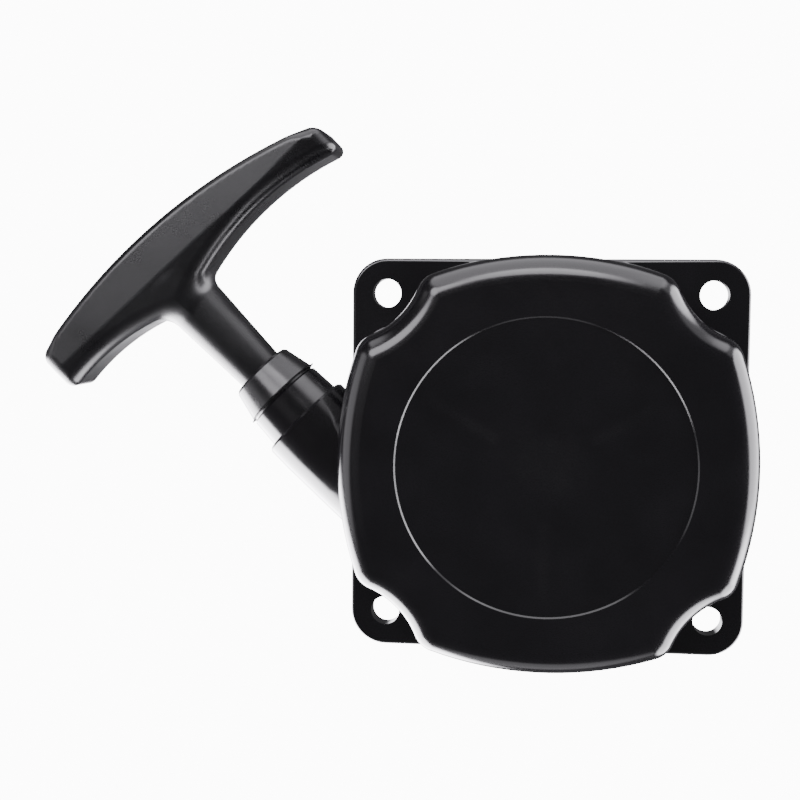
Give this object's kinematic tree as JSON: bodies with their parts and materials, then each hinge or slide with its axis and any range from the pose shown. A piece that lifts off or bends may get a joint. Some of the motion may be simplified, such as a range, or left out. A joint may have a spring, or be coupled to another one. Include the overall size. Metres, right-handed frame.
{
  "type": "recoil starter",
  "caption": "Pull-cord starter for a small engine: lobed dome on a square bolt flange, rope neck, T-grip, sprung rope reel and a pawl ratchet inside.",
  "frame": {"origin": "centre of the four bolt holes in the plane of the flange's back face, on the reel's axis", "axes": "+Z out of the dome, away from the engine; X and Y along the flange's sides; the rope leaves towards -X +Y at 45 degrees"},
  "size_m": [0.1816, 0.1357, 0.0315],
  "materials": {
    "housing_plastic": "glossy black moulded plastic",
    "guide_plastic": "black moulded plastic",
    "grip_plastic": "satin black moulded plastic",
    "rope": "braided polyester starter rope",
    "reel_nylon": "natural nylon",
    "bronze": "sintered bronze",
    "brass_insert": "turned brass",
    "zinc_steel": "bright zinc-plated steel",
    "cam_steel": "stamped steel with a light oil film",
    "pawl_steel": "sintered steel",
    "spring_steel": "blued spring steel"
  },
  "bodies": {
    "housing": {"housing": "housing_plastic", "rope_guide": "guide_plastic", "spring_case": "zinc_steel", "spring_cover": "zinc_steel", "spring_case_screws": "zinc_steel", "recoil_spring": "spring_steel", "spring_anchor_pin": "spring_steel", "screw_insert": "brass_insert", "center_screw": "zinc_steel", "thrust_washer": "zinc_steel", "friction_spring": "spring_steel"},
    "reel": {"reel": "reel_nylon", "reel_bush": "bronze", "rope_coil": "rope", "rope_reel_knot": "rope", "pawl_pivot_pins": "spring_steel", "pawl_spring_1": "spring_steel", "pawl_spring_2": "spring_steel"},
    "cam_plate": {"cam_plate": "cam_steel"},
    "pawl_1": {"pawl_1": "pawl_steel"},
    "pawl_2": {"pawl_2": "pawl_steel"},
    "rope_end": {"rope_run": "rope", "rope_grip_knot": "rope", "knot_washer": "zinc_steel"},
    "grip": {"grip": "grip_plastic"}
  },
  "joints": [
    {"name": "grip_pull", "type": "slide", "parent": "housing", "child": "rope_end", "axis": [-0.7071, 0.7071, 0], "range_m": [0, 0.78], "stiffness_N_per_m": 12, "springref_m": -0.8, "deforming": ["rope_run"]},
    {"name": "grip_swivel", "type": "hinge", "parent": "rope_end", "child": "grip", "pos_m": [-0.08259, 0.03055, 0.013], "axis": [-0.7071, 0.7071, 0], "range_deg": [-180, 180]},
    {"name": "reel_spin", "type": "hinge", "parent": "housing", "child": "reel", "pos_m": [0, 0, 0.013], "axis": [0, 0, 1], "range_deg": [-1440, 0], "deforming": ["recoil_spring"]},
    {"name": "cam_turn", "type": "hinge", "parent": "reel", "child": "cam_plate", "pos_m": [0, 0, 0.0055], "axis": [0, 0, 1], "range_deg": [0, 28], "stiffness_Nm_per_rad": 0.002, "springref_deg": -17.19, "deforming": ["pawl_spring_1", "pawl_spring_2"]},
    {"name": "pawl_1_swing", "type": "hinge", "parent": "reel", "child": "pawl_1", "pos_m": [0.015, 0, 0.0078], "axis": [0, 0, 1], "range_deg": [0, 35.1]},
    {"name": "pawl_2_swing", "type": "hinge", "parent": "reel", "child": "pawl_2", "pos_m": [-0.015, 0, 0.0078], "axis": [0, 0, 1], "range_deg": [0, 35.1]}
  ],
  "couplings": [
    {"joint": "reel_spin", "follows": "grip_pull", "rad_per_m": -32.2},
    {"joint": "pawl_1_swing", "follows": "cam_turn", "ratio": 1.25},
    {"joint": "pawl_2_swing", "follows": "cam_turn", "ratio": 1.25}
  ]
}
